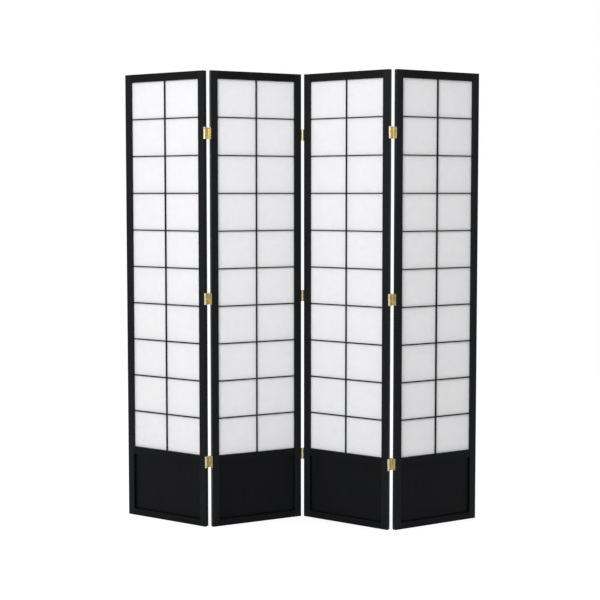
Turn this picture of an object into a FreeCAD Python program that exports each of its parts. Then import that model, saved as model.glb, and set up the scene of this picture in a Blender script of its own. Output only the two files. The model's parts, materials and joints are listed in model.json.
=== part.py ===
import FreeCAD, Part
import math
import os
from FreeCAD import Matrix, Vector
os.makedirs("parts", exist_ok=True)

# Four-leaf folding shoji screen. Millimetres, +Z up, +Y away from the viewer, the feet at z = 0.
# Each leaf is drawn in its own plane: u along its width, v from its front face to its back, z up.

# the whole
HEIGHT = 1780.0          # floor to the top of the stiles
LEAF_W = 381.0           # one leaf, across both stiles
LEAF_T = 19.0            # front face to back face of the frame
LEAF_TURNS = (-27.5, 27.0, -29.0, 30.0)   # direction of each leaf, left to right, degrees from +X
LEAF_GAP = 9.5           # edge to edge of two neighbours when the screen stands in line

# frame members
STILE_W = 28.0
TOP_RAIL_H = 31.0
MIDDLE_RAIL_H = 29.0
BOTTOM_RAIL_H = 26.0
KICK_ZONE_H = 281.0      # floor to the top of the middle rail
TENON_T = 7.0
TENON_L = 15.0
MORTISE_FIT = 0.10       # clearance all round a tenon, its shoulder stays tight
FRAME_CHAMFER = 0.6      # broken arris on the long edges of the stiles

# kick board in its groove
BOARD_T = 5.0
BOARD_V = 10.0           # its front face, measured back from the frame's front
GROOVE_D = 6.0
GROOVE_FIT = 0.15

# lattice of laths and the paper behind it
LATH_W = 4.0
LATH_T = 7.0
LATH_V = 3.5             # its front face, measured back from the frame's front
ROWS = 10                # panes one above the other
PAPER_T = 0.4
REBATE = 6.0             # ledge the paper is glued to
PAPER_V = LATH_V + LATH_T

# two-way hinges
HINGE_H = 44.5
HINGE_Z = (1540.0, 899.0, 258.0)   # middle height of the three hinges of one fold
PIN_OUT = 2.5            # pin axes stand this far outside the frame's faces
PIN_R = 1.9
PIN_FIT = 0.05           # radial running clearance of pin and knuckle
KNUCKLE_R = 4.4
KNUCKLE_GAP = 0.15       # half of the space between two knuckles on one pin
LEAF_PLATE_T = 1.4
LINK_T = 6.0
PIN_PROUD = 1.0          # how far a pin's end stands out of the plate's knuckle


def box(u0, u1, v0, v1, z0, z1):
    return Part.makeBox(u1 - u0, v1 - v0, z1 - z0, Vector(u0, v0, z0))


def rod(radius, u, v, z0, z1):
    return Part.makeCylinder(radius, z1 - z0, Vector(u, v, z0), Vector(0, 0, 1))


def join(shapes):
    result = shapes[0]
    for other in shapes[1:]:
        result = result.fuse(other)
    return result.removeSplitter()


# ---------------------------------------------------------------- where the leaves and folds stand

def turn(point, degrees):
    a = math.radians(degrees)
    x = point[0] * math.cos(a) - point[1] * math.sin(a)
    y = point[0] * math.sin(a) + point[1] * math.cos(a)
    return (x, y)


def step(start, offset, degrees):
    moved = turn(offset, degrees)
    return (start[0] + moved[0], start[1] + moved[1])


def layout():
    """Front left corner and direction of every leaf, and the two pins of every fold.

    A fold towards the viewer turns on its back pin, so its link stays against the left leaf.
    A fold away from the viewer turns on its front pin, so its link stays against the right leaf.
    """
    leaves = []
    folds = []
    corner = (0.0, 0.0)
    for number, angle in enumerate(LEAF_TURNS):
        leaves.append((corner, angle))
        if number == len(LEAF_TURNS) - 1:
            break
        next_angle = LEAF_TURNS[number + 1]
        link_angle = min(angle, next_angle)
        front_pin = step(corner, (LEAF_W + LEAF_GAP / 2, -PIN_OUT), angle)
        back_pin = step(front_pin, (0.0, LEAF_T + 2 * PIN_OUT), link_angle)
        corner = step(back_pin, (LEAF_GAP / 2, -LEAF_T - PIN_OUT), next_angle)
        folds.append((front_pin, back_pin, angle, link_angle, next_angle))
    return leaves, folds


def centred(leaves, folds):
    """Shift everything so the bounding box is centred on the Z axis."""
    xs = []
    ys = []
    for corner, angle in leaves:
        for offset in ((0, 0), (LEAF_W, 0), (LEAF_W, LEAF_T), (0, LEAF_T)):
            point = step(corner, offset, angle)
            xs.append(point[0])
            ys.append(point[1])
    for front_pin, back_pin, _, _, _ in folds:
        ys.append(front_pin[1] - KNUCKLE_R)
        ys.append(back_pin[1] + KNUCKLE_R)
    dx = -(min(xs) + max(xs)) / 2
    dy = -(min(ys) + max(ys)) / 2
    moved_leaves = [((c[0] + dx, c[1] + dy), a) for c, a in leaves]
    moved_folds = []
    for front_pin, back_pin, left, link, right in folds:
        front = (front_pin[0] + dx, front_pin[1] + dy)
        back = (back_pin[0] + dx, back_pin[1] + dy)
        moved_folds.append((front, back, left, link, right))
    return moved_leaves, moved_folds


LEAVES, FOLDS = centred(*layout())


def place(shape, origin, degrees):
    m = Matrix()
    m.rotateZ(math.radians(degrees))
    m.move(Vector(origin[0], origin[1], 0))
    return shape.transformed(m)


def save(node, shapes):
    body = shapes[0] if len(shapes) == 1 else Part.makeCompound(shapes)
    body.exportStep("parts/" + node + ".step")


# ---------------------------------------------------------------- frame of one leaf

def rail_levels():
    """Bottom and top of the three rails."""
    bottom = (0.0, BOTTOM_RAIL_H)
    middle = (KICK_ZONE_H - MIDDLE_RAIL_H, KICK_ZONE_H)
    top = (HEIGHT - TOP_RAIL_H, HEIGHT)
    return bottom, middle, top


def tenon_v():
    return (LEAF_T - TENON_T) / 2


def tenon(u0, u1, level, grow):
    v0 = tenon_v()
    z0 = level[0] + 5.0
    z1 = level[1] - 5.0
    return box(u0, u1, v0 - grow, v0 + TENON_T + grow, z0 - grow, z1 + grow)


def lath_level(row):
    """Middle height of the cross lath under this row of panes, row 1 at the top."""
    opening = HEIGHT - TOP_RAIL_H - KICK_ZONE_H
    return HEIGHT - TOP_RAIL_H - opening * row / ROWS


def stile(left):
    """One upright, drawn as a left stile and mirrored for the right one."""
    shape = box(0, STILE_W, 0, LEAF_T, 0, HEIGHT)
    edges = []
    for edge in shape.Edges:
        a = edge.Vertexes[0].Point
        b = edge.Vertexes[1].Point
        if abs(a.z - b.z) > 1.0:
            edges.append(edge)
    shape = shape.makeChamfer(FRAME_CHAMFER, edges)
    for level in rail_levels():
        reach = TENON_L + 0.5
        shape = shape.cut(tenon(STILE_W - reach, STILE_W + 1, level, MORTISE_FIT))
    groove_v0 = BOARD_V - GROOVE_FIT
    groove_v1 = BOARD_V + BOARD_T + GROOVE_FIT
    low = BOTTOM_RAIL_H - GROOVE_D
    high = KICK_ZONE_H - MIDDLE_RAIL_H + GROOVE_D
    shape = shape.cut(box(STILE_W - GROOVE_D, STILE_W + 1, groove_v0, groove_v1, low, high))
    opening = (KICK_ZONE_H - REBATE, HEIGHT - TOP_RAIL_H + REBATE)
    shape = shape.cut(box(STILE_W - REBATE, STILE_W + 1, PAPER_V, LEAF_T + 1, opening[0], opening[1]))
    if not left:
        shape = shape.mirror(Vector(LEAF_W / 2, 0, 0), Vector(1, 0, 0))
    return shape


def rail_body(level):
    body = box(STILE_W, LEAF_W - STILE_W, 0, LEAF_T, level[0], level[1])
    left = tenon(STILE_W - TENON_L, STILE_W + 1, level, 0)
    right = tenon(LEAF_W - STILE_W - 1, LEAF_W - STILE_W + TENON_L, level, 0)
    return body, left, right


def board_groove(z0, z1):
    return box(STILE_W - GROOVE_D, LEAF_W - STILE_W + GROOVE_D, BOARD_V - GROOVE_FIT,
               BOARD_V + BOARD_T + GROOVE_FIT, z0, z1)


def top_rail():
    level = rail_levels()[2]
    body, left, right = rail_body(level)
    shape = join([body, left, right])
    return shape.cut(box(STILE_W - REBATE, LEAF_W - STILE_W + REBATE, PAPER_V, LEAF_T + 1,
                         level[0] - 1, level[0] + REBATE))


def middle_rail():
    level = rail_levels()[1]
    body, left, right = rail_body(level)
    shape = join([body, left, right])
    shape = shape.cut(box(STILE_W - REBATE, LEAF_W - STILE_W + REBATE, PAPER_V, LEAF_T + 1,
                          level[1] - REBATE, level[1] + 1))
    return shape.cut(board_groove(level[0] - 1, level[0] + GROOVE_D))


def bottom_rail():
    level = rail_levels()[0]
    body, left, right = rail_body(level)
    shape = join([body, left, right])
    return shape.cut(board_groove(level[1] - GROOVE_D, level[1] + 1))


def kick_board():
    """Thin solid board, 1 mm short of the bottom of its grooves on every side but the lower one."""
    side = GROOVE_D - 1.0
    low = BOTTOM_RAIL_H - GROOVE_D
    high = KICK_ZONE_H - MIDDLE_RAIL_H + side
    return box(STILE_W - side, LEAF_W - STILE_W + side, BOARD_V, BOARD_V + BOARD_T, low, high)


# ---------------------------------------------------------------- lattice and paper of one leaf

def lap_v():
    """Depth at which a crossing is halved."""
    return LATH_V + LATH_T / 2


def upright_lath():
    """Centre lath, notched from behind wherever a cross lath passes."""
    middle = LEAF_W / 2
    low = KICK_ZONE_H
    high = HEIGHT - TOP_RAIL_H
    shape = box(middle - LATH_W / 2, middle + LATH_W / 2, LATH_V, PAPER_V, low, high)
    for row in range(1, ROWS):
        z = lath_level(row)
        notch = box(middle - LATH_W, middle + LATH_W, lap_v(), PAPER_V + 1, z - LATH_W / 2, z + LATH_W / 2)
        shape = shape.cut(notch)
    return shape


def cross_laths():
    """Nine laths butted between the stiles, each notched from the front to take the centre lath."""
    laths = []
    middle = LEAF_W / 2
    for row in range(1, ROWS):
        z = lath_level(row)
        lath = box(STILE_W, LEAF_W - STILE_W, LATH_V, PAPER_V, z - LATH_W / 2, z + LATH_W / 2)
        notch = box(middle - LATH_W / 2, middle + LATH_W / 2, LATH_V - 1, lap_v(),
                    z - LATH_W, z + LATH_W)
        laths.append(lath.cut(notch))
    return laths


def paper():
    """Sheet glued to the back of the laths and to the ledge round the opening."""
    edge = REBATE - 0.5
    return box(STILE_W - edge, LEAF_W - STILE_W + edge, PAPER_V, PAPER_V + PAPER_T,
               KICK_ZONE_H - edge, HEIGHT - TOP_RAIL_H + edge)


# ---------------------------------------------------------------- two-way hinge
# Drawn for a fold that stands in line: u = 0 midway between the leaves, v = 0 at the front faces.
# The upper knuckle on each pin belongs to a plate: the front pin to the left one, the back pin to
# the right one. Both lower knuckles belong to the link between them.

def knuckle_span(z, upper):
    if upper:
        return z + KNUCKLE_GAP, z + HINGE_H / 2
    return z - HINGE_H / 2, z - KNUCKLE_GAP


def plate(z):
    """Left plate: screwed flat to the edge of the left leaf, its knuckle round the front pin."""
    outer = -LEAF_GAP / 2
    inner = outer + LEAF_PLATE_T
    z0, z1 = knuckle_span(z, True)
    flat = box(outer, inner, 1.0, LEAF_T - 1.0, z - HINGE_H / 2, z + HINGE_H / 2)
    rise = box(outer, inner, -PIN_OUT - 1.0, 2.0, z0, z1)
    web = box(outer, -PIN_R - 1.0, -PIN_OUT - 1.0, -PIN_OUT + 1.0, z0, z1)
    shape = join([flat, rise, web, rod(KNUCKLE_R, 0, -PIN_OUT, z0, z1)])
    shape = shape.cut(rod(PIN_R + PIN_FIT, 0, -PIN_OUT, z0 - 1, z1 + 1))
    return shape


def link(z):
    """Middle member: a solid bar between the pins, which stand riveted in its lower knuckles."""
    back = LEAF_T + PIN_OUT
    front = -PIN_OUT
    clear = KNUCKLE_R + 0.5
    low = knuckle_span(z, False)
    half = LINK_T / 2
    lower = box(-half, half, front, back, low[0], low[1])
    upper = box(-half, half, front + clear, back - clear, low[1] - 1, z + HINGE_H / 2)
    shape = join([lower, upper])
    for v in (front, back):
        shape = join([shape, rod(KNUCKLE_R, 0, v, low[0], low[1])])
        shape = join([shape, rod(PIN_R, 0, v, low[1] - 1, z + HINGE_H / 2 + PIN_PROUD)])
    return shape


def right_piece(shape, z):
    """The same piece turned half round about the hinge's upright middle, for the other leaf."""
    copy = shape.copy()
    copy.rotate(Vector(0, LEAF_T / 2, z), Vector(0, 0, 1), 180)
    return copy


# ---------------------------------------------------------------- put together

def build_leaf(number):
    corner, angle = LEAVES[number]
    name = "panel_" + str(number + 1) + "_"
    pieces = {
        "left_stile": [stile(True)],
        "right_stile": [stile(False)],
        "top_rail": [top_rail()],
        "middle_rail": [middle_rail()],
        "bottom_rail": [bottom_rail()],
        "kick_board": [kick_board()],
        "upright_lath": [upright_lath()],
        "cross_laths": cross_laths(),
        "paper": [paper()],
    }
    for key, shapes in pieces.items():
        save(name + key, [place(s, corner, angle) for s in shapes])


def build_fold(number):
    front_pin, back_pin, left_angle, link_angle, right_angle = FOLDS[number]
    name = "fold_" + str(number + 1) + "_"
    left_origin = step(front_pin, (0, PIN_OUT), left_angle)
    link_origin = step(front_pin, (0, PIN_OUT), link_angle)
    right_origin = step(back_pin, (0, -LEAF_T - PIN_OUT), right_angle)
    left_plates = []
    right_plates = []
    links = []
    for z in HINGE_Z:
        left = plate(z)
        left_plates.append(place(left, left_origin, left_angle))
        right_plates.append(place(right_piece(left, z), right_origin, right_angle))
        links.append(place(link(z), link_origin, link_angle))
    save(name + "left_plates", left_plates)
    save(name + "right_plates", right_plates)
    save(name + "links", links)


for leaf_number in range(4):
    build_leaf(leaf_number)
for fold_number in range(3):
    build_fold(fold_number)
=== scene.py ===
import bpy
import json
import math
from mathutils import Matrix, Vector

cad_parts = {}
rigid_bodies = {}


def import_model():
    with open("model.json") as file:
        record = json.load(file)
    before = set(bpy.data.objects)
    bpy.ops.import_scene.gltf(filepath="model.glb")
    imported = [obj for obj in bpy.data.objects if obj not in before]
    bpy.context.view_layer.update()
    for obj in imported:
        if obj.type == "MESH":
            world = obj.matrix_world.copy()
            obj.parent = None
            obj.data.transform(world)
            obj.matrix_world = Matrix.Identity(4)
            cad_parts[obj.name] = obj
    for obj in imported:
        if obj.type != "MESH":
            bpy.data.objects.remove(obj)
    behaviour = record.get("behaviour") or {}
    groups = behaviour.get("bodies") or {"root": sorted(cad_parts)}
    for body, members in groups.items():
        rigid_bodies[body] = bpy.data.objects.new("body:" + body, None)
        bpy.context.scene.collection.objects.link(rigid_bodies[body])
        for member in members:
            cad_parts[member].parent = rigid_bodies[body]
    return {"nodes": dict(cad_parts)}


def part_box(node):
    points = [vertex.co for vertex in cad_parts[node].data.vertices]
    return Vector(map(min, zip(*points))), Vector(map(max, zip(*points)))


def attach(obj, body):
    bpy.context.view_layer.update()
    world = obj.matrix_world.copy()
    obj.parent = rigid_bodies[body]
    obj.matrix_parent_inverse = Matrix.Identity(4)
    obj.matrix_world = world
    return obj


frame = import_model()
bpy.ops.object.select_all(action="DESELECT")
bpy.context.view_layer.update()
nodes = frame["nodes"]


# ---------------------------------------------------------------- frames of the four leaves
# Stiles and rails of planed softwood, tenoned together and sprayed with black lacquer.
# The satin coat hides the colour of the wood but not its grain, which still shows as faint
# long ripples in the gloss. The rails, which are shorter, take a darker, duller copy of the lacquer:
# painted shade.

LEAVES = (1, 2, 3, 4)                       # from left to right
SPRAY_CREST = 0.0015                        # metres from crest to crest of the sprayed coat
HANDLED_PATCH = 0.060                       # metres across a patch that hands have dulled
# growth rings drawn 2.4 mm apart and 140 mm long, coarser than the real ones so that they show
UPRIGHT_GRAIN = (0.0024, 0.0024, 0.140)
LEVEL_GRAIN = (0.140, 0.0024, 0.0024)
# a Mix node has several sockets of each name, so the ones that mix colours are told by number,
# and so are the three of a Math node, which are all named alike
MIX_SHARE = 0
MIX_FROM = 6
MIX_TO = 7
MIX_RESULT = 2


def linear(text):
    """An sRGB hex colour as the linear colour a shader takes."""
    out = []
    for place in (1, 3, 5):
        value = int(text[place:place + 2], 16) / 255
        out.append(value / 12.92 if value <= 0.04045 else ((value + 0.055) / 1.055) ** 2.4)
    return (out[0], out[1], out[2], 1.0)


def add(tree, kind, values=None, links=None, **settings):
    """One node, with its settings, the values of its sockets and what is plugged into them."""
    made = tree.nodes.new(kind)
    for key, value in settings.items():
        setattr(made, key, value)
    for key, value in (values or {}).items():
        made.inputs[key].default_value = value
    for key, source in (links or {}).items():
        tree.links.new(source, made.inputs[key])
    return made


def bare_material(name):
    """A material with nothing in its node tree yet."""
    material = bpy.data.materials.new(name)
    material.use_nodes = True
    material.node_tree.nodes.clear()
    return material


def leaf_turn(number):
    """Direction of a leaf seen from above, from the middles of its two stiles, in radians."""
    low_a, high_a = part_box(f"panel_{number}_left_stile")
    low_b, high_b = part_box(f"panel_{number}_right_stile")
    way = (low_b + high_b) / 2 - (low_a + high_a) / 2
    return math.atan2(way.y, way.x)


def black_lacquer(name, turn, grain, colour, worn, gloss, rough):
    """Sprayed satin lacquer on wood. grain is the size of one ripple along, across and up, in metres."""
    material = bare_material(name)
    tree = material.node_tree
    where = add(tree, "ShaderNodeTexCoord")
    # grain ripples, as long and narrow as the growth rings leave them
    laid = add(tree, "ShaderNodeMapping", {"Rotation": (0, 0, turn), "Scale": grain},
               {"Vector": where.outputs["Object"]}, vector_type="TEXTURE")
    ripple = add(tree, "ShaderNodeTexNoise",
                 {"Scale": 1.0, "Detail": 4.0, "Roughness": 0.6, "Distortion": 0.3},
                 {"Vector": laid.outputs["Vector"]})
    spray = add(tree, "ShaderNodeTexNoise", {"Scale": 1 / SPRAY_CREST, "Detail": 2.0, "Roughness": 0.5},
                {"Vector": where.outputs["Object"]})
    handled = add(tree, "ShaderNodeTexNoise",
                  {"Scale": 1 / HANDLED_PATCH, "Detail": 3.0, "Roughness": 0.55},
                  {"Vector": where.outputs["Object"]})
    # the crests of the grain are rubbed a little paler than the rest
    tone = add(tree, "ShaderNodeMapRange",
               {"From Min": 0.35, "From Max": 0.75, "To Min": 0.0, "To Max": 1.0},
               {"Value": ripple.outputs["Fac"]})
    paint = add(tree, "ShaderNodeMix", {MIX_FROM: linear(colour), MIX_TO: linear(worn)},
                {MIX_SHARE: tone.outputs["Result"]}, data_type="RGBA")
    dull = add(tree, "ShaderNodeMapRange",
               {"From Min": 0.3, "From Max": 0.7, "To Min": rough - 0.05, "To Max": rough + 0.06},
               {"Value": handled.outputs["Fac"]})
    fine = add(tree, "ShaderNodeBump", {"Strength": 0.35, "Distance": 0.00004},
               {"Height": spray.outputs["Fac"]})
    relief = add(tree, "ShaderNodeBump", {"Strength": 0.7, "Distance": 0.0004},
                 {"Height": ripple.outputs["Fac"], "Normal": fine.outputs["Normal"]})
    skin = add(tree, "ShaderNodeBsdfPrincipled", {"IOR": 1.5, "Specular IOR Level": gloss},
               {"Base Color": paint.outputs[MIX_RESULT], "Roughness": dull.outputs["Result"],
                "Normal": relief.outputs["Normal"]})
    add(tree, "ShaderNodeOutputMaterial", None, {"Surface": skin.outputs["BSDF"]})
    return material


def finish_with(node, material):
    """A CAD node takes this material in place of its own."""
    mesh = nodes[node].data
    mesh.materials.clear()
    mesh.materials.append(material)


stile_lacquer = black_lacquer("stile_lacquer", turn=0.0, grain=UPRIGHT_GRAIN,
                              colour="#06080b", worn="#11141a", gloss=0.135, rough=0.38)
for number in LEAVES:
    # painted shade: the rails take a darker, less glossy copy of the stile lacquer
    shaded_rail_lacquer = black_lacquer(f"shaded_rail_lacquer_{number}", turn=leaf_turn(number), grain=LEVEL_GRAIN,
                                 colour="#050608", worn="#0d0f13", gloss=0.10, rough=0.40)
    for side in ("left_stile", "right_stile"):
        finish_with(f"panel_{number}_{side}", stile_lacquer)
    for rail in ("top_rail", "middle_rail", "bottom_rail"):
        finish_with(f"panel_{number}_{rail}", shaded_rail_lacquer)


# ---------------------------------------------------------------- kick boards
# Thin boards slid into grooves of the lower frame before it is glued, with the grain upright.
# They take the rails' darker, less glossy copy of the same lacquer: painted shade.

BOARD_GRAIN = (0.0030, 0.0030, 0.160)       # wider rings, since a board is sawn flat

# painted shade: a darker, less glossy copy of the stile lacquer
board_lacquer = black_lacquer("board_lacquer", turn=0.0, grain=BOARD_GRAIN,
                              colour="#050608", worn="#0d0e11", gloss=0.10, rough=0.40)
for number in LEAVES:
    finish_with(f"panel_{number}_kick_board", board_lacquer)


# ---------------------------------------------------------------- lattice
# Thin softwood laths halved over each other, sprayed before the paper goes on, so their
# edges stay crisp against it. Fine grain, since they are ripped from clear stock.

UPRIGHT_LATH_GRAIN = (0.0012, 0.0012, 0.080)
CROSS_LATH_GRAIN = (0.080, 0.0012, 0.0012)

upright_lacquer = black_lacquer("upright_lath_lacquer", turn=0.0, grain=UPRIGHT_LATH_GRAIN,
                                colour="#06070a", worn="#0f1115", gloss=0.12, rough=0.42)
for number in LEAVES:
    across_lacquer = black_lacquer(f"cross_lath_lacquer_{number}", turn=leaf_turn(number),
                                   grain=CROSS_LATH_GRAIN, colour="#06070a", worn="#0f1115",
                                   gloss=0.12, rough=0.42)
    finish_with(f"panel_{number}_upright_lath", upright_lacquer)
    finish_with(f"panel_{number}_cross_laths", across_lacquer)


# ---------------------------------------------------------------- shoji paper
# White fibre paper glued to the back of the laths. Matt, slightly cloudy where the pulp
# lies thicker, with long single fibres that show as faint curling threads.

PULP_CLOUD = 0.030                          # metres across a cloud of thicker pulp
FIBRE_CURL = 0.018                          # metres across a curl of a fibre
PAPER_TOOTH = 0.0006                        # metres from crest to crest of the surface


def shoji_paper():
    """Matt white paper that light scatters in."""
    material = bare_material("shoji_paper")
    tree = material.node_tree
    where = add(tree, "ShaderNodeTexCoord")
    cloud = add(tree, "ShaderNodeTexNoise", {"Scale": 1 / PULP_CLOUD, "Detail": 3.0, "Roughness": 0.6},
                {"Vector": where.outputs["Object"]})
    # a fibre is the thin line where a curling field crosses its middle value
    curl = add(tree, "ShaderNodeTexNoise",
               {"Scale": 1 / FIBRE_CURL, "Detail": 1.5, "Roughness": 0.5, "Distortion": 1.2},
               {"Vector": where.outputs["Object"]})
    off = add(tree, "ShaderNodeMath", {1: 0.5}, {0: curl.outputs["Fac"]}, operation="SUBTRACT")
    near = add(tree, "ShaderNodeMath", None, {0: off.outputs["Value"]}, operation="ABSOLUTE")
    # a real fibre is 0.05 mm thick; it is drawn about 0.3 mm thick so that it shows
    fibre = add(tree, "ShaderNodeMapRange",
                {"From Min": 0.0, "From Max": 0.010, "To Min": 1.0, "To Max": 0.0},
                {"Value": near.outputs["Value"]})
    thick = add(tree, "ShaderNodeMapRange",
                {"From Min": 0.3, "From Max": 0.7, "To Min": 0.0, "To Max": 0.35},
                {"Value": cloud.outputs["Fac"]})
    both = add(tree, "ShaderNodeMath", {1: 0.50},
               {0: fibre.outputs["Result"], 2: thick.outputs["Result"]}, operation="MULTIPLY_ADD")
    pulp = add(tree, "ShaderNodeMix", {MIX_FROM: linear("#f5f5f7"), MIX_TO: linear("#ebebee")},
               {MIX_SHARE: both.outputs["Value"]}, data_type="RGBA")
    tooth = add(tree, "ShaderNodeTexNoise", {"Scale": 1 / PAPER_TOOTH, "Detail": 2.0},
                {"Vector": where.outputs["Object"]})
    rise = add(tree, "ShaderNodeMath", {1: 0.4},
               {0: fibre.outputs["Result"], 2: tooth.outputs["Fac"]}, operation="MULTIPLY_ADD")
    relief = add(tree, "ShaderNodeBump", {"Strength": 0.25, "Distance": 0.00005},
                 {"Height": rise.outputs["Value"]})
    # half of the colour comes from light that has gone into the sheet and scattered there
    skin = add(tree, "ShaderNodeBsdfPrincipled",
               {"IOR": 1.5, "Specular IOR Level": 0.15, "Roughness": 0.9, "Subsurface Weight": 0.5,
                "Subsurface Radius": (1.0, 1.0, 1.0), "Subsurface Scale": 0.001},
               {"Base Color": pulp.outputs[MIX_RESULT], "Normal": relief.outputs["Normal"]})
    add(tree, "ShaderNodeOutputMaterial", None, {"Surface": skin.outputs["BSDF"]})
    return material


paper = shoji_paper()
for number in LEAVES:
    finish_with(f"panel_{number}_paper", paper)


# ---------------------------------------------------------------- two-way hinges
# Cast brass plates and links, tumbled and left satin. The yellow is pale, with darker
# tarnish in patches a few millimetres across and fine rubbing marks round each barrel.

FOLDS = (1, 2, 3)                           # each joins the leaf of its own number to the next
TARNISH_PATCH = 0.005                       # metres across a patch of tarnish
RUBBING_MARK = (0.006, 0.006, 0.00035)      # level marks 6 mm long and 0.35 mm apart


def satin_brass(name, colour, tarnish):
    """Pale tumbled brass that has tarnished in patches."""
    material = bare_material(name)
    tree = material.node_tree
    where = add(tree, "ShaderNodeTexCoord")
    patch = add(tree, "ShaderNodeTexNoise",
                {"Scale": 1 / TARNISH_PATCH, "Detail": 4.0, "Roughness": 0.6},
                {"Vector": where.outputs["Object"]})
    stain = add(tree, "ShaderNodeMapRange",
                {"From Min": 0.4, "From Max": 0.72, "To Min": 0.0, "To Max": 1.0},
                {"Value": patch.outputs["Fac"]})
    metal = add(tree, "ShaderNodeMix", {MIX_FROM: linear(colour), MIX_TO: linear(tarnish)},
                {MIX_SHARE: stain.outputs["Result"]}, data_type="RGBA")
    rub = add(tree, "ShaderNodeMapping", {"Scale": RUBBING_MARK},
              {"Vector": where.outputs["Object"]}, vector_type="TEXTURE")
    mark = add(tree, "ShaderNodeTexNoise", {"Scale": 1.0, "Detail": 2.0},
               {"Vector": rub.outputs["Vector"]})
    dull = add(tree, "ShaderNodeMapRange",
               {"From Min": 0.3, "From Max": 0.7, "To Min": 0.26, "To Max": 0.42},
               {"Value": mark.outputs["Fac"]})
    relief = add(tree, "ShaderNodeBump", {"Strength": 0.3, "Distance": 0.00003},
                 {"Height": mark.outputs["Fac"]})
    skin = add(tree, "ShaderNodeBsdfPrincipled", {"Metallic": 1.0},
               {"Base Color": metal.outputs[MIX_RESULT], "Roughness": dull.outputs["Result"],
                "Normal": relief.outputs["Normal"]})
    add(tree, "ShaderNodeOutputMaterial", None, {"Surface": skin.outputs["BSDF"]})
    return material


hinge_brass = satin_brass("hinge_brass", colour="#eee3bd", tarnish="#aa9a60")
for fold in FOLDS:
    for part in ("left_plates", "right_plates", "links"):
        finish_with(f"fold_{fold}_{part}", hinge_brass)


# ---------------------------------------------------------------- hinge screws
# Three brass wood screws hold each plate to the edge of its leaf. Turned heads, sunk until only
# the crown stands out, so that the link clears them when the fold is shut. Cross recess.

HEAD = 0.0027                               # radius of a head
HEAD_DEPTH = 0.0012                         # depth of the short cylinder that it starts as
PROUD = 0.00008                             # how far its rim stands out of the plate
CROWN_STEPS = ((0.16, 0.00008), (0.30, 0.00004))    # share of HEAD that each goes inwards, and its rise
RECESS_BLADE = (HEAD * 1.15, 0.00055, 0.0012)       # what cuts one slot of the cross
BLADE_RISE = 0.0001                         # from the rim up to the middle of that blade
RIM_ROUND = 0.00004                         # rounding of the edges
PLATE = 0.0014                              # thickness of a hinge plate
PLATE_HALF = 0.0222                         # half the height of a plate
SCREW_STEP = 0.0155                         # from one screw of a plate to the next
DRIVEN_ON = 37                              # degrees that each cross is turned past the last


def screw_head():
    """One head that faces +Z, with the face of the plate at z = 0."""
    bpy.ops.mesh.primitive_cylinder_add(vertices=28, radius=HEAD, depth=HEAD_DEPTH,
                                        location=(0, 0, PROUD - HEAD_DEPTH / 2))
    head = bpy.context.object
    bpy.ops.object.transform_apply(location=True)
    bpy.ops.object.mode_set(mode="EDIT")
    bpy.ops.mesh.select_mode(type="FACE")
    bpy.ops.mesh.select_all(action="DESELECT")
    bpy.ops.object.mode_set(mode="OBJECT")
    for face in head.data.polygons:
        face.select = face.normal.z > 0.9
    bpy.ops.object.mode_set(mode="EDIT")
    # the crown: two steps inwards, each a little higher
    for inwards, rise in CROWN_STEPS:
        bpy.ops.mesh.inset(thickness=HEAD * inwards, depth=rise)
    bpy.ops.object.mode_set(mode="OBJECT")
    for turned in (0, 90):
        bpy.ops.mesh.primitive_cube_add(size=1, location=(0, 0, PROUD + BLADE_RISE))
        blade = bpy.context.object
        blade.scale = RECESS_BLADE
        blade.rotation_euler = (0, 0, math.radians(turned))
        bpy.ops.object.transform_apply(location=True, rotation=True, scale=True)
        slot = head.modifiers.new("recess", "BOOLEAN")
        slot.operation = "DIFFERENCE"
        slot.object = blade
        bpy.context.view_layer.objects.active = head
        bpy.ops.object.modifier_apply(modifier="recess")
        bpy.data.objects.remove(blade)
    for item in bpy.data.objects:
        item.select_set(item is head)
    bpy.context.view_layer.objects.active = head
    rim = head.modifiers.new("rim", "BEVEL")
    rim.width = RIM_ROUND
    rim.segments = 2
    rim.limit_method = "ANGLE"
    rim.angle_limit = math.radians(50)
    bpy.ops.object.modifier_apply(modifier="rim")
    bpy.ops.object.shade_smooth_by_angle(angle=math.radians(30))
    return head


def leaf_axes(number):
    """Along a leaf from left to right, and through it from front to back."""
    turned = leaf_turn(number)
    along = Vector((math.cos(turned), math.sin(turned), 0))
    return along, Vector((-along.y, along.x, 0))


def reach(node, way):
    """Least and greatest distance of a node's points along a direction."""
    values = [v.co.dot(way) for v in nodes[node].data.vertices]
    return min(values), max(values)


pattern = screw_head()
pattern.name = "screw_pattern"
pattern.data.materials.append(hinge_brass)
for fold in FOLDS:
    for side, leaf, stile in (("left", fold, "right_stile"), ("right", fold + 1, "left_stile")):
        along, through = leaf_axes(leaf)
        outward = along if side == "left" else -along
        edge = reach(f"panel_{leaf}_{stile}", outward)[1]
        stile_front, stile_back = reach(f"panel_{leaf}_{stile}", through)
        middle = (stile_front + stile_back) / 2
        low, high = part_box(f"fold_{fold}_{side}_plates")
        levels = (low.z + PLATE_HALF, (low.z + high.z) / 2, high.z - PLATE_HALF)
        heads = []
        for level in levels:
            for up in (-SCREW_STEP, 0.0, SCREW_STEP):
                place = outward * (edge + PLATE) + through * middle
                place.z = level + up
                facing = outward.to_track_quat("Z", "Y").to_matrix().to_4x4()
                driven = Matrix.Rotation(math.radians(DRIVEN_ON * len(heads)), 4, "Z")
                copy = pattern.data.copy()
                copy.transform(Matrix.Translation(place) @ facing @ driven)
                screw = bpy.data.objects.new("screw", copy)
                bpy.context.scene.collection.objects.link(screw)
                heads.append(screw)
        for item in bpy.data.objects:
            item.select_set(item in heads)
        bpy.context.view_layer.objects.active = heads[0]
        bpy.ops.object.join()
        group = bpy.context.object
        group.name = f"fold_{fold}_{side}_screws"
        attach(group, f"panel_{leaf}")
bpy.data.objects.remove(pattern)


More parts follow.
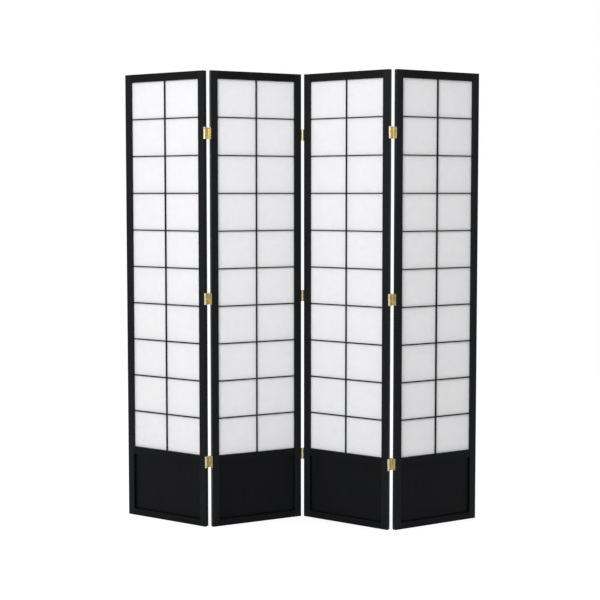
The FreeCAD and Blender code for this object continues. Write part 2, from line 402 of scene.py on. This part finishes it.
# ---------------------------------------------------------------- studio
# A plain pale floor that the camera sees as white, with the soft shadow left in. A broad soft
# light in front on the left, a weak one further left and one behind, in a white room.

WHITE_TO_CAMERA = 0.65                      # share of plain white in the floor that the camera sees
WHITE_TO_GLOSS = 0.35                       # and in the floor that brass and lacquer mirror
WHITE_STRENGTH = 1.29                       # of that white, so that with the matt share it is full white
ROOM_ON_MATT = 0.55                         # strength of the room as it lights matt faces
ROOM_SEEN = 1.0                             # and where it is seen, mirrored or looked through

bpy.ops.mesh.primitive_plane_add(size=60, location=(0, 0, 0))
floor = bpy.context.object
floor.name = "studio_floor"
pale_floor = bare_material("pale_floor")
tree = pale_floor.node_tree
rays = add(tree, "ShaderNodeLightPath")
gloss = add(tree, "ShaderNodeMath", {1: WHITE_TO_GLOSS}, {0: rays.outputs["Is Glossy Ray"]},
            operation="MULTIPLY")
seen = add(tree, "ShaderNodeMath", {1: WHITE_TO_CAMERA},
           {0: rays.outputs["Is Camera Ray"], 2: gloss.outputs["Value"]}, operation="MULTIPLY_ADD")
matt = add(tree, "ShaderNodeBsdfDiffuse", {"Color": linear("#f0f0f0")})
white = add(tree, "ShaderNodeEmission", {"Color": (1, 1, 1, 1), "Strength": WHITE_STRENGTH})
surface = add(tree, "ShaderNodeMixShader", None,
              {0: seen.outputs["Value"], 1: matt.outputs["BSDF"], 2: white.outputs["Emission"]})
add(tree, "ShaderNodeOutputMaterial", None, {"Surface": surface.outputs["Shader"]})
floor.data.materials.append(pale_floor)

studio_room = bpy.data.worlds.new("studio_room")
bpy.context.scene.world = studio_room
studio_room.use_nodes = True
tree = studio_room.node_tree
tree.nodes.clear()
rays = add(tree, "ShaderNodeLightPath")
seen = add(tree, "ShaderNodeMath", None,
           {0: rays.outputs["Is Camera Ray"], 1: rays.outputs["Is Glossy Ray"]}, operation="MAXIMUM")
seen = add(tree, "ShaderNodeMath", None,
           {0: seen.outputs["Value"], 1: rays.outputs["Is Transmission Ray"]}, operation="MAXIMUM")
level = add(tree, "ShaderNodeMapRange",
            {"From Min": 0.0, "From Max": 1.0, "To Min": ROOM_ON_MATT, "To Max": ROOM_SEEN},
            {"Value": seen.outputs["Value"]})
room = add(tree, "ShaderNodeBackground", {"Color": (1, 1, 1, 1)}, {"Strength": level.outputs["Result"]})
add(tree, "ShaderNodeOutputWorld", None, {"Surface": room.outputs["Background"]})


def soft_light(name, place, aim, width, height, power):
    """A rectangular soft light in metres and watts, turned towards aim and hidden from the camera."""
    lamp = bpy.data.lights.new(name, "AREA")
    lamp.shape = "RECTANGLE"
    lamp.size = width
    lamp.size_y = height
    lamp.energy = power
    holder = bpy.data.objects.new(name, lamp)
    bpy.context.scene.collection.objects.link(holder)
    holder.location = place
    holder.rotation_euler = (Vector(aim) - Vector(place)).to_track_quat("-Z", "Y").to_euler()
    holder.visible_camera = False


soft_light("front_softbox", place=(-1.2, -3.2, 2.5), aim=(0, 0, 1.1), width=1.6, height=1.2, power=57.5)
soft_light("left_softbox", place=(-3.0, -1.9, 1.5), aim=(-0.4, 0, 0.7), width=1.0, height=1.8, power=4)
soft_light("back_softbox", place=(-1.3, 3.4, 2.2), aim=(0, 0, 0.9), width=2.0, height=1.6, power=24)

# The viewpoint is the photograph's: about 4.6 m away at the height of a standing viewer's chest,
# tipped down a little, with the small downward shift of the picture plane that its framing needs.
lens = bpy.data.cameras.new("camera")
lens.sensor_width = 36.0
lens.lens = 69.91
lens.shift_y = -0.0583
camera = bpy.data.objects.new("camera", lens)
bpy.context.scene.collection.objects.link(camera)
camera.location = (0.2103, -4.5747, 1.3068)
camera.rotation_euler = (math.radians(86.5), 0, math.radians(2.63))
bpy.context.scene.camera = camera
bpy.context.scene.view_settings.view_transform = "Standard"
